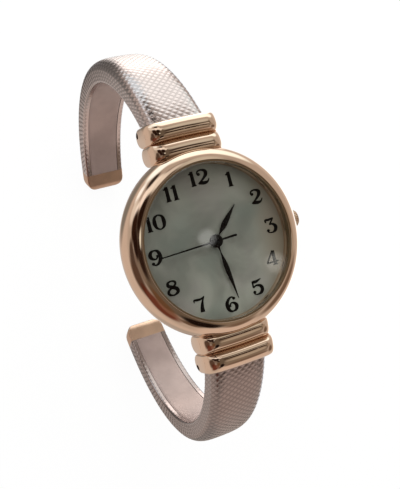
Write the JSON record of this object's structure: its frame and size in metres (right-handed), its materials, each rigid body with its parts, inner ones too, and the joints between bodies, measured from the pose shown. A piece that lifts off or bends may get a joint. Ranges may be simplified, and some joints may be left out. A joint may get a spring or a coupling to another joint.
{
  "type": "bangle watch",
  "caption": "Round-cased bangle watch: half-round bezel, pearl dial with hands, ribbed end links and sprung embossed arms that open round a wrist.",
  "frame": {"origin": "centre of the case back's outer face, on the hands' axis", "axes": "+X towards 3 o'clock and the crown, +Y towards 12 o'clock, +Z out of the dial"},
  "size_m": [0.033, 0.0754, 0.0543],
  "materials": {
    "rose_gold": "polished rose-gold plating",
    "steel_back": "brushed stainless steel",
    "steel": "machined steel",
    "spring_steel": "spring steel",
    "motor_steel": "soft iron sheet",
    "copper_wire": "enamelled copper winding",
    "brass": "machined brass",
    "plate": "moulded plastic",
    "circuit": "circuit board lacquer",
    "cell": "bright nickel",
    "rubber": "black rubber",
    "gasket": "white nylon",
    "glass": "clear mineral crystal",
    "pearl": "mother-of-pearl",
    "black_print": "black print and lacquer",
    "embossed": "metallic pinkish-taupe, fine diagonal embossing",
    "lining": "smooth taupe lining",
    "filler": "moulded filler"
  },
  "bodies": {
    "watch_head": {"case": "rose_gold", "case_back": "steel_back", "back_gasket": "rubber", "crystal": "glass", "crystal_gasket": "gasket", "dial_ring": "rose_gold", "pearl_dial": "pearl", "dial_blank": "brass", "dial_numerals": "black_print", "movement_ring": "plate", "main_plate": "plate", "train_bridge": "steel", "bridge_screws": "steel", "stator": "motor_steel", "coil": "copper_wire", "coil_core": "motor_steel", "circuit_board": "circuit", "quartz_can": "cell", "battery": "cell", "battery_clip": "brass", "crown_tube": "rose_gold", "upper_end_link": "rose_gold", "lower_end_link": "rose_gold", "upper_hinge_pin": "steel", "lower_hinge_pin": "steel", "upper_hinge_spring": "spring_steel", "lower_hinge_spring": "spring_steel"},
    "seconds": {"seconds_wheel": "brass", "seconds_hand": "black_print"},
    "minutes": {"centre_wheel": "brass", "minute_hand": "black_print"},
    "hours": {"hour_wheel": "brass", "hour_hand": "black_print"},
    "rotor": {"rotor": "motor_steel"},
    "intermediate_wheel": {"intermediate_wheel": "brass"},
    "third_wheel": {"third_wheel": "brass"},
    "minute_wheel": {"minute_wheel": "brass"},
    "setting_wheel": {"setting_wheel": "steel"},
    "setting_lever": {"setting_lever": "steel"},
    "sliding_pinion": {"sliding_pinion": "steel"},
    "crown": {"stem": "steel", "crown": "rose_gold", "crown_gasket": "rubber"},
    "upper_arm": {"upper_knuckle": "steel", "upper_core": "spring_steel", "upper_filler": "filler", "upper_cover": "embossed", "upper_lining": "lining", "upper_tip_cap": "rose_gold"},
    "lower_arm": {"lower_knuckle": "steel", "lower_core": "spring_steel", "lower_filler": "filler", "lower_cover": "embossed", "lower_lining": "lining", "lower_tip_cap": "rose_gold"}
  },
  "joints": [
    {"name": "seconds_turn", "type": "hinge", "parent": "watch_head", "child": "seconds", "pos_m": [0, 0, 0.0045], "axis": [0, 0, -1], "continuous": true},
    {"name": "minutes_turn", "type": "hinge", "parent": "watch_head", "child": "minutes", "pos_m": [0, 0, 0.0045], "axis": [0, 0, -1], "continuous": true},
    {"name": "hours_turn", "type": "hinge", "parent": "watch_head", "child": "hours", "pos_m": [0, 0, 0.0045], "axis": [0, 0, -1], "continuous": true},
    {"name": "rotor_turn", "type": "hinge", "parent": "watch_head", "child": "rotor", "pos_m": [-0.00269, 0.00337, 0.0016], "axis": [0, 0, -1], "continuous": true},
    {"name": "intermediate_turn", "type": "hinge", "parent": "watch_head", "child": "intermediate_wheel", "pos_m": [-0.00045, 0.00256, 0.0016], "axis": [0, 0, -1], "continuous": true},
    {"name": "third_turn", "type": "hinge", "parent": "watch_head", "child": "third_wheel", "pos_m": [0.00164, -0.00195, 0.002], "axis": [0, 0, -1], "continuous": true},
    {"name": "minute_wheel_turn", "type": "hinge", "parent": "watch_head", "child": "minute_wheel", "pos_m": [0.00184, 0.00154, 0.003], "axis": [0, 0, -1], "continuous": true},
    {"name": "setting_wheel_turn", "type": "hinge", "parent": "watch_head", "child": "setting_wheel", "pos_m": [0.00447, 0.00059, 0.003], "axis": [0, 0, -1], "continuous": true},
    {"name": "crown_turn", "type": "hinge", "parent": "watch_head", "child": "sliding_pinion", "pos_m": [0.0061, 0, 0.0024], "axis": [1, 0, 0], "continuous": true},
    {"name": "crown_pull", "type": "slide", "parent": "sliding_pinion", "child": "crown", "axis": [1, 0, 0], "range_m": [0, 0.0008]},
    {"name": "setting_lever_swing", "type": "hinge", "parent": "watch_head", "child": "setting_lever", "pos_m": [0.00725, 0.00227, 0.0031], "axis": [0, 0, 1], "range_deg": [0, 20.1]},
    {"name": "upper_arm_hinge", "type": "hinge", "parent": "watch_head", "child": "upper_arm", "pos_m": [0, 0.0201, -0.00095], "axis": [1, 0, 0], "range_deg": [0, 18], "stiffness_Nm_per_rad": 0.2, "springref_deg": -5.73},
    {"name": "lower_arm_hinge", "type": "hinge", "parent": "watch_head", "child": "lower_arm", "pos_m": [0, -0.0201, -0.00095], "axis": [-1, 0, 0], "range_deg": [0, 18], "stiffness_Nm_per_rad": 0.2, "springref_deg": -5.73}
  ],
  "couplings": [
    {"joint": "intermediate_turn", "follows": "seconds_turn", "ratio": -4},
    {"joint": "rotor_turn", "follows": "seconds_turn", "ratio": 30},
    {"joint": "third_turn", "follows": "seconds_turn", "ratio": -0.13333},
    {"joint": "minutes_turn", "follows": "seconds_turn", "ratio": 0.016667},
    {"joint": "minute_wheel_turn", "follows": "seconds_turn", "ratio": -0.0055556},
    {"joint": "hours_turn", "follows": "seconds_turn", "ratio": 0.0013889},
    {"joint": "setting_wheel_turn", "follows": "seconds_turn", "ratio": 0.01},
    {"joint": "setting_lever_swing", "follows": "crown_pull", "rad_per_m": 437}
  ]
}
